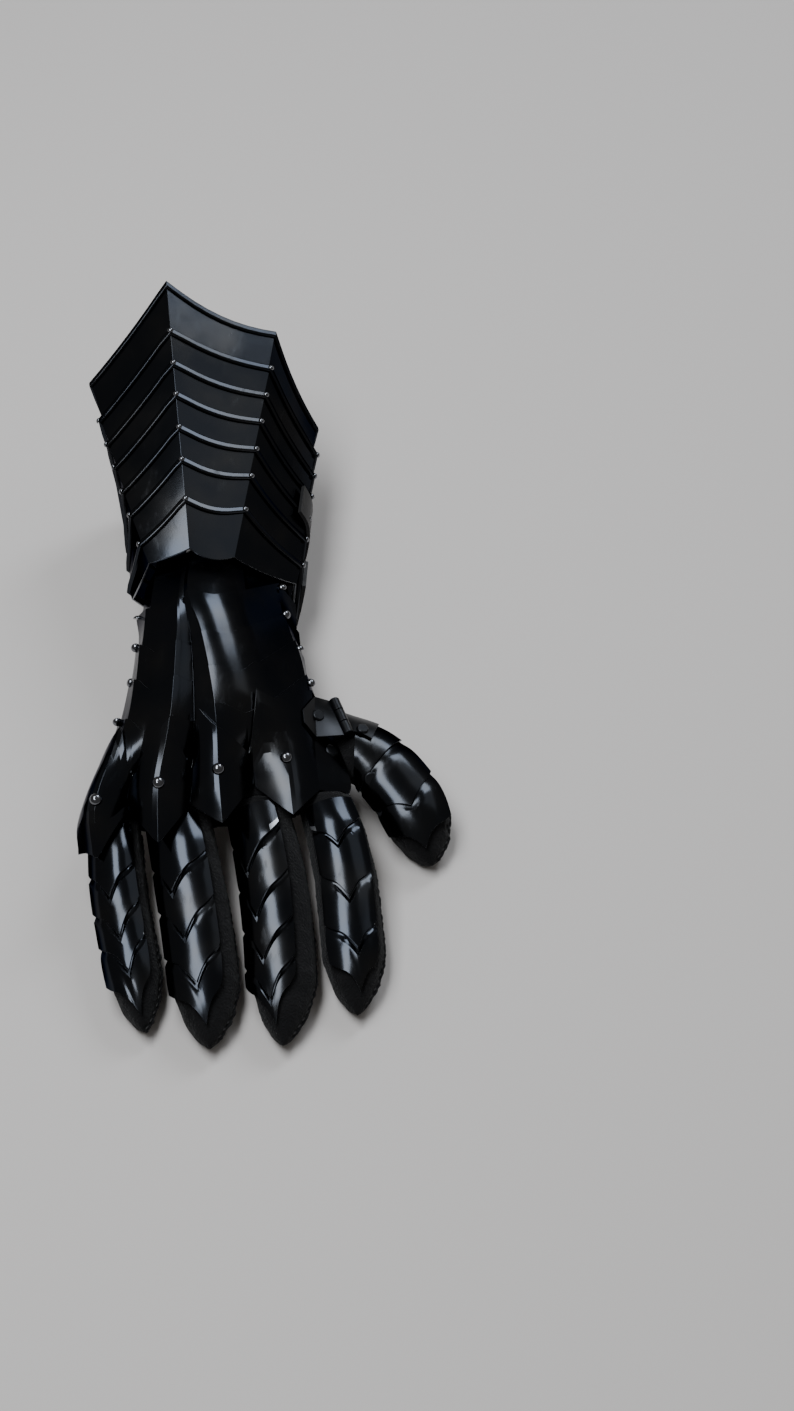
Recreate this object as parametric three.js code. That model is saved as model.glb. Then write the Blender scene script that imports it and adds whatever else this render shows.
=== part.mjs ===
// A right-hand armoured gauntlet: black steel plates on a leather glove, lying palm down.
// Millimetres. X points to the thumb side, Y from the fingertips to the cuff, Z up.
// All sizes are given in a frame whose origin is on the floor below the middle knuckle's rivet.
// The finished group is then set down with its origin below the middle of its outline.
import * as THREE from "three";

// Driving dimensions
const STEEL = 1.0; // plate thickness
const LEATHER = 2.0; // glove thickness
const STRAP = 2.2; // strap thickness
const AIR = 0.5; // air between a plate and what it lies on
const LIFT = STEEL + AIR; // how far a plate's edge stands above the plate below it
const LAP = 5; // how far a plate runs on below the next one
const FOLD_LENGTH = 130; // length of a cuff fold, from the rim to its last rivet
const BEAD_WIDTH = 3.2; // rolled bead along the upper edge of a cuff lame
const BEAD_HEIGHT = 1.3;

const steel = new THREE.MeshStandardMaterial({ color: 0x0c0d10, roughness: 0.22, metalness: 0.9 });
const rivetSteel = new THREE.MeshStandardMaterial({ color: 0x14151a, roughness: 0.15, metalness: 1 });
const hingeSteel = new THREE.MeshStandardMaterial({ color: 0x17181b, roughness: 0.35, metalness: 0.9 });
const buckleSteel = new THREE.MeshStandardMaterial({ color: 0x8d9096, roughness: 0.3, metalness: 1 });
const leather = new THREE.MeshStandardMaterial({ color: 0x0d0c0c, roughness: 0.9, metalness: 0 });
const strapLeather = new THREE.MeshStandardMaterial({ color: 0x121010, roughness: 0.6, metalness: 0 });

const gauntlet = new THREE.Group();

const vector = (p) => new THREE.Vector3(p[0], p[1], p[2]);
const mix = (a, b, s) => a + (b - a) * s;
const clamp01 = (x) => Math.min(1, Math.max(0, x));
const smooth = (x) => clamp01(x) ** 2 * (3 - 2 * clamp01(x));
const steps = (count) => Array.from({ length: count + 1 }, (_, i) => i / count);

// Looks a value up in a list of [position, value] pairs, with straight lines between them.
function alongTable(table, x) {
  if (x <= table[0][0]) return table[0][1];
  for (let i = 1; i < table.length; i++) {
    const [x1, y1] = table[i];
    const [x0, y0] = table[i - 1];
    if (x <= x1) return mix(y0, y1, (x - x0) / (x1 - x0));
  }
  return table[table.length - 1][1];
}

function addMesh(name, geometry, material) {
  const mesh = new THREE.Mesh(geometry, material);
  mesh.name = name;
  gauntlet.add(mesh);
  return mesh;
}

// Makes a geometry of the triangles, turned over where their faces point in.
function facingOut(positions, triangles) {
  const p = (i) => new THREE.Vector3().fromArray(positions, 3 * i);
  let volume = 0;
  for (let t = 0; t < triangles.length; t += 3) {
    volume += p(triangles[t]).dot(p(triangles[t + 1]).cross(p(triangles[t + 2])));
  }
  if (volume < 0) triangles.reverse();
  const geometry = new THREE.BufferGeometry();
  geometry.setAttribute("position", new THREE.Float32BufferAttribute(positions, 3));
  geometry.setIndex(triangles);
  return geometry;
}

// Adds one closed solid between two grids of points. A grid's rows run along the piece and its
// columns across it. With around, the columns close on themselves. A last row of one point is a
// pole, which closes the outside and the inside each on its own.
function addShell(name, outer, inner, material, around = false) {
  const positions = [];
  const triangles = [];
  const columns = outer[0].length;
  const last = outer.length - 1;
  const number = (grid) =>
    grid.map((row) => {
      const first = positions.length / 3;
      row.forEach((p) => positions.push(p.x, p.y, p.z));
      return Array.from({ length: columns }, (_, c) => first + (row.length === 1 ? 0 : c));
    });
  const quad = (a, b, c, d) => {
    if (a !== b && b !== c && c !== a) triangles.push(a, b, c);
    if (a !== c && c !== d && d !== a) triangles.push(a, c, d);
  };
  const o = number(outer);
  const n = number(inner);
  const end = columns - 1;
  for (let c = 0; c < (around ? columns : end); c++) {
    const next = (c + 1) % columns;
    for (let r = 0; r < last; r++) {
      quad(o[r][c], o[r][next], o[r + 1][next], o[r + 1][c]);
      quad(n[r][c], n[r + 1][c], n[r + 1][next], n[r][next]);
    }
    quad(o[0][next], o[0][c], n[0][c], n[0][next]);
    if (outer[last].length > 1) quad(o[last][c], o[last][next], n[last][next], n[last][c]);
  }
  for (let r = 0; !around && r < last; r++) {
    quad(o[r][0], o[r + 1][0], n[r + 1][0], n[r][0]);
    quad(o[r + 1][end], o[r][end], n[r][end], n[r + 1][end]);
  }
  return addMesh(name, facingOut(positions, triangles), material);
}

// The unit normal of a surface point(u, v), on the side that a sign of 1 or -1 picks.
function normalOf(point, u, v, du, dv, sign) {
  const across = point(u + du, v).sub(point(u - du, v));
  const along = point(u, v + dv).sub(point(u, v - dv));
  return across.cross(along).normalize().multiplyScalar(sign);
}

// A sheet that lies on a surface. rowsAt(u) lists its rows at one place across the surface, as
// [place along the surface, height of the sheet's face above it].
function addPlate(name, surface, us, rowsAt, material, thickness = STEEL) {
  const outer = [];
  const inner = [];
  us.forEach((u) => {
    rowsAt(u).forEach(([v, height], r) => {
      const n = surface.normal(u, v);
      outer[r] = outer[r] ?? [];
      inner[r] = inner[r] ?? [];
      outer[r].push(surface.point(u, v).addScaledVector(n, height));
      inner[r].push(surface.point(u, v).addScaledVector(n, height - thickness));
    });
  });
  return addShell(name, outer, inner, material);
}

// Cuff. Its folds run straight from the rim to the waist. The table goes round from the slit in the
// underside, over the little finger's side and the back to the thumb's side and the underside again.
// end says how far the last lame runs, where 1 is the fold's last rivet. slip moves the lames' edges
// along the fold, and dip is how far they sag towards the hand between this fold and the next.
const CUFF_FOLDS = [
  { rim: [-38, 250, 7], waist: [-24, 139, 16], end: 1.09, slip: 0, dip: 0.3 },
  { rim: [-70, 252, 28], waist: [-57, 140, 45], end: 1.09, slip: 0, dip: 0.3 },
  { rim: [-88.7, 259.9, 89.4], waist: [-49.5, 144.5, 77.4], end: 1.12, slip: 0, dip: 0.3 },
  { rim: [-46.2, 305.2, 128.9], waist: [-26.8, 167, 90.5], end: 1.215, slip: -0.005, dip: 1 },
  { rim: [17.4, 295.8, 101.2], waist: [4.7, 166.7, 79.2], end: 1.215, slip: -0.035, dip: 0.8 },
  { rim: [43, 266.6, 53.3], waist: [36.3, 157.2, 44], end: 1.08, slip: -0.05, dip: 0.6 },
  { rim: [30, 257, 4], waist: [33, 146, 15], end: 1.09, slip: 0, dip: 0.3 },
  { rim: [-22, 252, 4], waist: [-10, 140, 13], end: 1.09, slip: 0, dip: 0 },
];
const BAND_RIVETS = [0.235, 0.385, 0.53, 0.68, 0.825, 1]; // places of the rivets along a fold
const RIM_DIP = 0.05; // sag of the rim and of the other edges, as a part of the fold
const BAND_DIP = 0.03;
const CUFF_COLUMNS = [2, 2, 3, 3, 3, 2, 2]; // columns of each facet

const cuff = {
  point(u, v) {
    const i = Math.floor(u);
    const fold = (k) => {
      const { rim, waist } = CUFF_FOLDS[(k + CUFF_FOLDS.length) % CUFF_FOLDS.length];
      return vector(rim).lerp(vector(waist), v);
    };
    return fold(i).lerp(fold(i + 1), u - i);
  },
  normal(u, v) {
    return normalOf(cuff.point, u, v, 0.02, 0.01, -1);
  },
};

// Edge 0 is the rim, edges 1 to 6 run past the rivets and edge 7 is the end at the waist.
function cuffEdge(edge, u) {
  const i = Math.min(Math.floor(u), CUFF_FOLDS.length - 2);
  const s = u - i;
  const between = (key) => mix(CUFF_FOLDS[i][key], CUFF_FOLDS[i + 1][key], s);
  const dip = 4 * s * (1 - s) * CUFF_FOLDS[i].dip;
  if (edge === 0) return RIM_DIP * dip;
  if (edge > BAND_RIVETS.length) return between("end") + BAND_DIP * dip;
  return BAND_RIVETS[edge - 1] + between("slip") + BAND_DIP * dip;
}

function cuffLameRows(lame) {
  return (u) => {
    const start = cuffEdge(lame - 1, u);
    const isLast = lame === BAND_RIVETS.length + 1;
    const end = cuffEdge(lame, u) + (isLast ? 0 : LAP / FOLD_LENGTH);
    const at = (mm) => start + mm / FOLD_LENGTH;
    const lift = lame === 1 ? 0 : LIFT;
    return [
      [at(0), lift + BEAD_HEIGHT * 0.4],
      [at(BEAD_WIDTH * 0.4), lift + BEAD_HEIGHT],
      [at(BEAD_WIDTH), lift],
      [at(LAP + 1), lift],
      [at(LAP + 6), 0],
      [end, 0],
    ];
  };
}

function addCuff() {
  const us = CUFF_COLUMNS.flatMap((count, i) => steps(count).slice(0, -1).map((s) => i + s));
  us.push(CUFF_COLUMNS.length);
  for (let lame = 1; lame <= BAND_RIVETS.length + 1; lame++) {
    addPlate(`cuff_lame_${lame}`, cuff, us, cuffLameRows(lame), steel);
  }
}

// Back of the hand. Folds run from the waist to the knuckles, with a valley between two of them.
// Each station is a row of points across the hand, and mm counts along the middle finger's fold.
// Columns: thumb edge, thumb skirt, index, valley, middle, valley, ring, valley, little, little edge.
const HAND_STATIONS = [
  { mm: 0, row: [[32.5, 152, 42.7], [22, 159, 54.1], [0.8, 141, 71.5], [-10.5, 139, 75.2], [-22.2, 138, 79],
    [-24.2, 136.5, 78.2], [-26.5, 135, 77.6], [-34.5, 133, 75.4], [-42.5, 132, 73], [-52, 134, 48.5]] },
  { mm: 33, row: [[35, 133.1, 42], [25, 139.5, 52.6], [4.1, 110.4, 76.5], [-8.5, 107, 80.6],
    [-21, 103.6, 84.8], [-22.9, 100.4, 83], [-25.5, 97, 84], [-34, 97.4, 79.4], [-42.3, 97.6, 75],
    [-50, 111.6, 52]] },
  { mm: 60, row: [[37.5, 113.1, 41], [29.5, 116.2, 53], [11.3, 86.3, 75.5], [0, 81, 79.2],
    [-11.4, 75.6, 83.4], [-17.5, 74.5, 79.5], [-24.4, 69, 83], [-34, 71.6, 77.6], [-43.8, 74.4, 71.5],
    [-48.5, 90.7, 50]] },
  { mm: 101, row: [[46.5, 73.9, 38], [43.2, 73.6, 52], [26.7, 43, 67], [12.4, 38, 71.5], [-2, 32.5, 76],
    [-13.2, 33.9, 70.5], [-24.6, 24.4, 75], [-36.3, 27.5, 69], [-48, 30.5, 63], [-54.5, 45.6, 42]] },
  { mm: 134, row: [[67.9, 19.7, 34], [50.3, 18.1, 44], [35.7, 15.2, 53.5], [17.1, 13.1, 49], [1.2, 0.5, 61.5],
    [-12.6, 1, 54], [-28.7, -9.9, 62], [-43.9, -5.1, 52], [-60.4, -18.2, 57], [-68.9, -11.7, 36]] },
  { mm: 160, row: [[67.7, 8.7, 30], [52.9, 4.7, 40], [40.8, -16.4, 46], [18.6, 3.9, 45], [4.5, -25.8, 50.5],
    [-13.1, -12.2, 48.5], [-27.2, -38.8, 50], [-44.9, -14.4, 47], [-58.2, -42.1, 40], [-68.4, -32.2, 28]] },
];
const LAST_COLUMN = HAND_STATIONS[0].row.length - 1;
const COLUMN_CROWN = 3; // how far the broad flute behind the index finger is crowned
const LEAF_DOME = 1.1; // how round the knuckles' leaves are
const LEAVES_FROM = 95; // where the flutes turn into leaves, in mm along the hand
const LEAVES_OVER = 35;

const handCurves = steps(LAST_COLUMN).map((_, c) =>
  new THREE.CatmullRomCurve3(HAND_STATIONS.map((s) => vector(s.row[c])), false, "catmullrom", 0.5));
const stationTable = HAND_STATIONS.map((s, i) => [s.mm, i / (HAND_STATIONS.length - 1)]);

const hand = {
  point(u, mm) {
    const i = Math.min(Math.max(Math.floor(u), 0), LAST_COLUMN - 1);
    const t = alongTable(stationTable, mm);
    const a = handCurves[i].getPoint(t);
    const b = handCurves[i + 1].getPoint(t);
    const p = a.clone().lerp(b, u - i);
    const leaf = smooth((mm - LEAVES_FROM) / LEAVES_OVER);
    const fromCrest = i % 2 === 0 ? u - i : 1 - (u - i);
    const dome = Math.cos((fromCrest * Math.PI) / 2) - (1 - fromCrest);
    const crown = clamp01(1 - (u - 3) ** 2) * smooth((mm + 10) / 40);
    p.z += i > 0 ? LEAF_DOME * Math.abs(a.z - b.z) * dome * leaf : 0;
    p.z += COLUMN_CROWN * crown * (1 - leaf);
    p.y += Math.max(-mm, 0);
    return p;
  },
  normal(u, mm) {
    return normalOf(hand.point, u, mm, 0.03, 1, 1);
  },
};
const handColumns = (perColumn) => steps(LAST_COLUMN * perColumn).map((s) => s * LAST_COLUMN);

// Edges of the plates on the hand, in mm along it, with peaks on the folds and dips between them.
const LAME_STARTS = [33, 60, 80.5, 101];
const HAND_DIP = 6;
const WRIST_TUCK = 2.1; // how far the wrist plate's end keeps below the cuff's surface
const handDip = (u) => (u < 2 || u > 8 ? 0 : Math.sin((u * Math.PI) / 2) ** 2);
const lameEdge = (k, u) => LAME_STARTS[k] + HAND_DIP * handDip(u);
const KNUCKLE_TOP = [[0, 111], [1, 107.5], [2, 101], [2.57, 97], [2.8, 110], [2.9, 118], [3.1, 126],
  [4, 112], [4.6, 103], [4.82, 114], [5.1, 129], [6, 103], [7.1, 127], [8, 105], [9, 118]];
const knuckleEdge = (u) => alongTable(KNUCKLE_TOP, u);

// Places where the last lame's lifted edge starts to fall and has fallen; the knuckle plate steps
// down over it there.
const stepDown = (u) => [LAP + 1, LAP + 7].map((mm) => lameEdge(LAME_STARTS.length - 1, u) + mm);
const KNUCKLE_LIFT = 0.6; // more air below the knuckle plate, which bridges the flutes' valleys

function knuckleFace(u, mm) {
  const [from, to] = stepDown(u);
  return LIFT * (2 - clamp01((mm - from - 1) / (to - from))) + KNUCKLE_LIFT;
}

function addHandPlates() {
  const us = handColumns(2);
  const corners = KNUCKLE_TOP.map((row) => row[0]);
  const finer = [...us, ...corners].sort((a, b) => a - b).filter((u, i, all) => !(u - all[i - 1] < 0.06));
  const wristRows = (u) => {
    const side = u > 1.7 && u < 8 ? 0 : 1;
    const tuck = WRIST_TUCK + 1.5 * side;
    return [
      [-4, -tuck],
      [9 + 13 * side, -tuck / 2 - 0.6 * side],
      [20 + 11 * side, -side],
      [lameEdge(0, u) + LAP, 0],
    ];
  };
  addPlate("wrist_plate", hand, us, wristRows, steel);
  LAME_STARTS.forEach((start, k) => {
    const rows = (u) => {
      const edge = lameEdge(k, u);
      const isLast = k === LAME_STARTS.length - 1;
      const next = isLast ? Math.max(knuckleEdge(u), edge + LAP + 8) : lameEdge(k + 1, u);
      const sunk = isLast ? 1.6 : 0;
      const fallen = Math.min(edge + LAP + 7, next - 1);
      const end = next + LAP;
      return [
        [edge, LIFT],
        [edge + LAP + 1, LIFT],
        [fallen, -sunk / 2],
        [mix(fallen, end, 0.5), -sunk],
        [end, -sunk],
      ];
    };
    addPlate(`hand_lame_${k + 1}`, hand, k < LAME_STARTS.length - 1 ? us : finer, rows, steel);
  });
  addKnucklePlate(finer);
}

function addKnucklePlate(us) {
  const end = HAND_STATIONS[HAND_STATIONS.length - 1].mm;
  const rows = (u) => {
    const edge = knuckleEdge(u);
    const bends = stepDown(u).map((mm, i) => Math.max(mm + 1, edge + 1 + i));
    const rest = steps(3).slice(1).map((s) => mix(bends[1], end, s));
    return [edge, mix(edge, bends[0], 0.5), ...bends, ...rest].map((mm) => [mm, knuckleFace(u, mm)]);
  };
  addPlate("knuckle_plate", hand, us, rows, steel);
}

// Glove. The palm is a tube from the wrist to the fingers, open at both ends. Its rows follow the
// hand, and sole is the height of its underside.
const PALM_ROWS = [
  { mm: -6, sole: 34, tuck: 3.6 },
  { mm: 25, sole: 31, tuck: 2 },
  { mm: 55, sole: 27, tuck: 0.6 },
  { mm: 85, sole: 22, tuck: 0.3 },
  { mm: 106, sole: 19, tuck: 1.4 },
  { mm: 121, sole: 17, tuck: 3.6 },
  { mm: 130, sole: 16, tuck: 0, ceiling: 43 },
];
const PALM_INSET = STEEL + LIFT + 0.6; // glove below the hand's surface
const SOLE_COLUMNS = 9;
// Where the palm ends and the fingers start
const frontAt = (x) => 0.156 * x - 4.5;

function palmRing({ mm, sole, tuck, ceiling }, inset) {
  const depth = PALM_INSET + tuck + inset;
  const top = handColumns(1).map((u) => hand.point(u, mm).addScaledVector(hand.normal(u, mm), -depth));
  const first = top[0];
  const last = top[top.length - 1];
  const bottom = steps(SOLE_COLUMNS).slice(1, -1).map((s) => {
    const p = last.clone().lerp(first, s);
    const side = Math.abs(2 * s - 1) ** 4;
    return p.setZ(mix(sole + inset, p.z, side));
  });
  const ring = [...top, ...bottom];
  if (ceiling) ring.forEach((p) => p.set(p.x, frontAt(p.x), Math.min(p.z, ceiling - inset)));
  return ring;
}

function addPalm() {
  const outer = PALM_ROWS.map((row) => palmRing(row, 0));
  const inner = PALM_ROWS.map((row) => palmRing(row, LEATHER));
  addShell("glove_palm", outer, inner, leather, true);
}

// Fingers. axis runs from the knuckle to the tip, and half is half the width. Directions round a
// finger are in degrees, where 0 is straight up and a positive angle is on the thumb's side. crest
// is where the scales' points lie, at the knuckle and at the tip. reach is how far the scales go
// round to each side. depth is how far a point reaches past its arms. tips are the points' places
// along the axis, where 1 is the fingertip. turn is the heading of the thumb's first ring.
const DIGITS = [
  { name: "index", axis: [[57, 2, 31], [67.5, -31, 25.5], [73, -72, 17], [77, -113, 9]], half: 16.5,
    crest: [-20, 14], reach: [-48, 42], depth: 14, tips: [0.305, 0.55, 0.765, 0.925] },
  { name: "middle", axis: [[22, 0.5, 32.5], [32.5, -44, 26.5], [38.5, -88, 17.5], [40.5, -132, 9]], half: 17,
    crest: [-62, -18], reach: [-83, 19], depth: 22, tips: [0.325, 0.515, 0.69, 0.845, 0.93] },
  { name: "ring", axis: [[-20, -8.5, 33], [-10, -49, 27], [-1.5, -92, 17.5], [4, -135, 9]], half: 17.5,
    crest: [-58, 0], reach: [-74, 28], depth: 19, tips: [0.4, 0.585, 0.775, 0.925] },
  { name: "little", axis: [[-52, -15, 28], [-46.8, -51, 23], [-38, -88, 15.5], [-29, -126, 8.5]], half: 13.5,
    crest: [-38, -2], reach: [-77, 31], depth: 19, tips: [0.425, 0.605, 0.765, 0.945] },
  { name: "thumb", axis: [[57, 44, 27.5], [82, 35, 25.5], [104, 11, 18.5], [115, -20, 9]], half: 18,
    crest: [-14, -14], reach: [-84, 56], depth: 13, tips: [0.46, 0.72, 0.93], turn: [0.97, 0.24, 0] },
];
const RISE_OVER = 0.2; // a finger's top rises over this part of it, from this part of its height
const RISE_FROM = { thumb: 0.3, finger: 0.7 };
const TURN_OVER = 0.5; // how far along the thumb its rings still turn
const TOP_HEIGHT = [[0, 16], [0.35, 14], [0.7, 12.5], [1, 11]]; // finger above its axis
const SOLE_DEPTH = [[0, 13], [0.4, 14], [0.75, 18], [1, 17]]; // finger below its axis
const WIDTH_ALONG = [[0, 0.93], [0.35, 1], [1, 0.98]];
const TIP_START = 0.73; // where a fingertip begins to narrow
const INNER_END = 0.95; // where the hollow of a finger ends
const SEAM = 0.35; // air between the palm and a finger
const TUBE_SIDES = 12;
const TUBE_PLACES = [0, 0.2, 0.4, 0.6, 0.75, 0.87, 0.95];
const ARM_COLUMNS = 4; // columns on each side of a point
const SCALE_START = 0.06;
const THUMB_PLATE = { start: 0.2, end: 0.4 };
const SCALE_FACE = STEEL + AIR; // a scale's face above the leather, where the scale before lies on it
const FACE = SCALE_FACE + LIFT; // and beyond there
// Edge of a scale beside its point: part of the way round, part of the depth
const OGEE = [[0, 0], [0.15, 0.23], [0.33, 0.5], [0.51, 0.65], [0.73, 0.74], [1, 1]];

function digitSurface(digit) {
  const curve = new THREE.CatmullRomCurve3(digit.axis.map(vector), false, "catmullrom", 0.5);
  const inset = (angle, t, depth) => {
    const place = curve.getPoint(clamp01(t));
    const heading = curve.getTangent(clamp01(t));
    if (digit.turn && t < TURN_OVER) heading.lerp(vector(digit.turn), 1 - smooth(t / TURN_OVER));
    heading.setZ(0).normalize();
    const side = new THREE.Vector3(-heading.y, heading.x, 0);
    const phi = THREE.MathUtils.degToRad(angle);
    const s = clamp01((t - TIP_START) / (1 - TIP_START));
    const narrow = (1 - s ** 1.8) ** 0.9;
    const flat = (1 - s ** 2.2) ** 0.7;
    const wide = Math.max(digit.half * alongTable(WIDTH_ALONG, t) * narrow - depth, 0.3);
    const from = RISE_FROM[digit.turn ? "thumb" : "finger"];
    const top = alongTable(TOP_HEIGHT, t) * mix(from, 1, clamp01(t / RISE_OVER));
    const high = Math.max(top * flat - depth, 0.3);
    const low = Math.max(alongTable(SOLE_DEPTH, t) * flat - depth, 0.3);
    const up = Math.cos(phi);
    const z = place.z + (up > 0 ? high * up : -low * Math.abs(up) ** 0.7);
    return place.addScaledVector(side, wide * Math.sin(phi)).setZ(Math.max(z, depth));
  };
  const point = (angle, t) => inset(angle, t, 0);
  const normal = (angle, t) => normalOf(point, angle, Math.min(t, 0.97), 1, 0.01, -1);
  return { length: curve.getLength(), inset, point, normal };
}

function addTube(digit, surface) {
  const angles = steps(TUBE_SIDES).slice(1).map((s) => s * 360);
  const outer = TUBE_PLACES.map((t) => angles.map((a) => surface.point(a, t)));
  const inner = TUBE_PLACES.map((t) => angles.map((a) => surface.inset(a, t * INNER_END, LEATHER)));
  const onFront = (p) => p.setY(frontAt(p.x) - SEAM);
  if (!digit.turn) [...outer[0], ...inner[0]].forEach(onFront);
  outer.push([surface.point(0, 1)]);
  inner.push([surface.inset(0, INNER_END, LEATHER)]);
  addShell(`${digit.name}_stall`, outer, inner, leather, true);
}

const crestAt = (digit, t) => mix(digit.crest[0], digit.crest[1], t);

// The edge of a scale, in parts of the axis. Edge 0 is where the first scale starts.
function scaleEdge(digit, surface, edge, angle) {
  if (edge === 0) return SCALE_START;
  if (digit.turn && edge === 1) return THUMB_PLATE.end;
  const tip = digit.tips[edge - 1];
  const crest = crestAt(digit, tip);
  const part = (angle - crest) / (digit.reach[angle < crest ? 0 : 1] - crest);
  return tip - (digit.depth * alongTable(OGEE, part)) / surface.length;
}

function addScale(digit, surface, k) {
  const mm = 1 / surface.length;
  const crests = [k - 1, k].map((edge) => crestAt(digit, digit.tips[Math.max(edge - 1, 0)]));
  crests.sort((a, b) => a - b);
  const angles = steps(ARM_COLUMNS).map((s) => mix(digit.reach[0], crests[0], s));
  steps(ARM_COLUMNS).forEach((s) => angles.push(mix(crests[1], digit.reach[1], s)));
  const own = angles.filter((a, i) => !(a - angles[i - 1] < 0.5));
  const rows = (angle) => {
    const end = scaleEdge(digit, surface, k, angle);
    const rise = [RISE_OVER / 2, RISE_OVER].map((t, i) => Math.min(t, end - 0.02 + 0.01 * i));
    if (k === 1) return [SCALE_START, ...rise, end].map((t) => [t, FACE]);
    const before = scaleEdge(digit, surface, k - 1, angle);
    const risen = before + 4.5 * mm;
    return [
      [before - 4 * mm, SCALE_FACE],
      [before + 1.6 * mm, SCALE_FACE],
      [risen, FACE],
      [mix(risen, end, 0.5), FACE],
      [end, FACE],
    ];
  };
  addPlate(`${digit.name}_scale_${digit.turn ? k - 1 : k}`, surface, own, rows, steel);
}

function addThumbPlate(digit, surface) {
  const [from, to] = digit.reach;
  const angles = steps(2 * ARM_COLUMNS).map((s) => mix(from, to, s));
  const places = steps(4).map((s) => mix(THUMB_PLATE.start, THUMB_PLATE.end, s));
  const rows = () => places.map((t) => [t, FACE]);
  addPlate("thumb_plate", surface, angles, rows, steel);
}

function addDigits() {
  DIGITS.forEach((digit) => {
    const surface = digitSurface(digit);
    addTube(digit, surface);
    if (digit.turn) addThumbPlate(digit, surface);
    digit.tips.forEach((_, i) => {
      if (digit.turn && i === 0) return;
      addScale(digit, surface, i + 1);
    });
  });
}

// Hinge between the hand and the thumb's plate: two leaves and a pin
const PIN_RADIUS = 2;
const PIN_ENDS = [[59.5, 63, 44.5], [68.4, 39.2, 45]];
// The hand's leaf runs from the knuckle plate's thumb fold, which is 1, to the pin.
const HAND_LEAF = [
  { u: 1, rows: [110, 114, 123] },
  { u: 1.35, rows: [113, 115, 118] },
];
// The thumb's leaf starts beside the pin. from is the place along the thumb, by direction.
const THUMB_LEAF = {
  from: { 3.5: 0.196, 21: 0.184, 38.5: 0.164, 50: 0.15 },
  flat: 0.205,
  middle: 0.25,
  to: 0.3,
};
const LEAF_CLIMB = 40; // the thumb's leaf climbs to the pin by this much for 1 of the thumb's length

function addHinge() {
  const ends = PIN_ENDS.map(vector);
  const along = ends[1].clone().sub(ends[0]);
  const pin = new THREE.CylinderGeometry(PIN_RADIUS, PIN_RADIUS, along.length(), 10);
  const upright = new THREE.Vector3(0, 1, 0);
  const turn = new THREE.Quaternion().setFromUnitVectors(upright, along.clone().normalize());
  pin.applyQuaternion(turn);
  const middle = ends[0].clone().lerp(ends[1], 0.5);
  pin.translate(middle.x, middle.y, middle.z);
  addMesh("hinge_pin", pin, hingeSteel);
  addHandLeaf(ends);
  const thumb = digitSurface(DIGITS[DIGITS.length - 1]);
  const thumbRows = (angle) => {
    const places = [THUMB_LEAF.from[angle], THUMB_LEAF.flat, THUMB_LEAF.middle, THUMB_LEAF.to];
    return places.map((t) => [t, FACE + LIFT + LEAF_CLIMB * Math.max(THUMB_LEAF.flat - t, 0)]);
  };
  const angles = Object.keys(THUMB_LEAF.from).map(Number).sort((a, b) => a - b);
  addPlate("hinge_leaf_thumb", thumb, angles, thumbRows, hingeSteel);
}

function addHandLeaf(ends) {
  const onPlate = (lift) => HAND_LEAF.map(({ u, rows }) =>
    rows.map((mm) => {
      const height = knuckleFace(u, mm) + LIFT + lift;
      return hand.point(u, mm).addScaledVector(hand.normal(u, mm), height);
    }));
  const atPin = (lift) => steps(2).map((s) => {
    const onPin = ends[0].clone().lerp(ends[1], s);
    return onPin.add(new THREE.Vector3(-PIN_RADIUS - AIR, -1, lift + 1));
  });
  const [outer, inner] = [0, -STEEL].map((lift) => [atPin(lift), ...onPlate(lift)]);
  addShell("hinge_leaf_hand", outer, inner, hingeSteel);
}

// Straps run from the thumb's side round below the cuff and its slit, and end on the underside.
const STRAPS = [
  { name: "cuff", place: 0.62, starts: [4.8, 5] },
  { name: "wrist", place: 0.92, starts: [5.25] },
];
const STRAP_WIDTH = 22;
const STRAP_COLUMNS = [5.5, 6, 6.5, 7, 7.5, 8, 8.5, 8.8];
const STRAP_FACE = LIFT + BEAD_HEIGHT + AIR + STRAP;
const BUCKLE = { place: 8.4, length: 20, width: 30, bar: 3, prong: 2.2, thickness: 2 };

function addStraps() {
  const half = STRAP_WIDTH / FOLD_LENGTH / 2;
  STRAPS.forEach(({ name, place, starts }) => {
    const rows = () => [[place - half, STRAP_FACE], [place + half, STRAP_FACE]];
    const us = [...starts, ...STRAP_COLUMNS];
    addPlate(`${name}_strap`, cuff, us, rows, strapLeather, STRAP);
    addBuckle(`${name}_buckle`, place);
  });
}

function rectangle(shape, x0, y0, x1, y1) {
  return shape.moveTo(x0, y0).lineTo(x1, y0).lineTo(x1, y1).lineTo(x0, y1).lineTo(x0, y0);
}

function addBuckle(name, place) {
  const { length, width, bar, prong, thickness } = BUCKLE;
  const frame = rectangle(new THREE.Shape(), -length / 2, -width / 2, length / 2, width / 2);
  const inX = length / 2 - bar;
  const inY = width / 2 - bar;
  frame.holes.push(rectangle(new THREE.Path(), -inX, -inY, inX, -prong / 2));
  frame.holes.push(rectangle(new THREE.Path(), -inX, prong / 2, inX, inY));
  const geometry = new THREE.ExtrudeGeometry(frame, { depth: thickness, bevelEnabled: false });
  const out = cuff.normal(BUCKLE.place, place);
  const along = cuff.point(BUCKLE.place, place + 0.01);
  along.sub(cuff.point(BUCKLE.place, place - 0.01)).normalize();
  const across = along.clone().cross(out);
  geometry.applyMatrix4(new THREE.Matrix4().makeBasis(across, along, out));
  const p = cuff.point(BUCKLE.place, place).addScaledVector(out, STRAP_FACE + AIR);
  geometry.translate(p.x, p.y, p.z);
  addMesh(name, geometry, buckleSteel);
}

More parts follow.
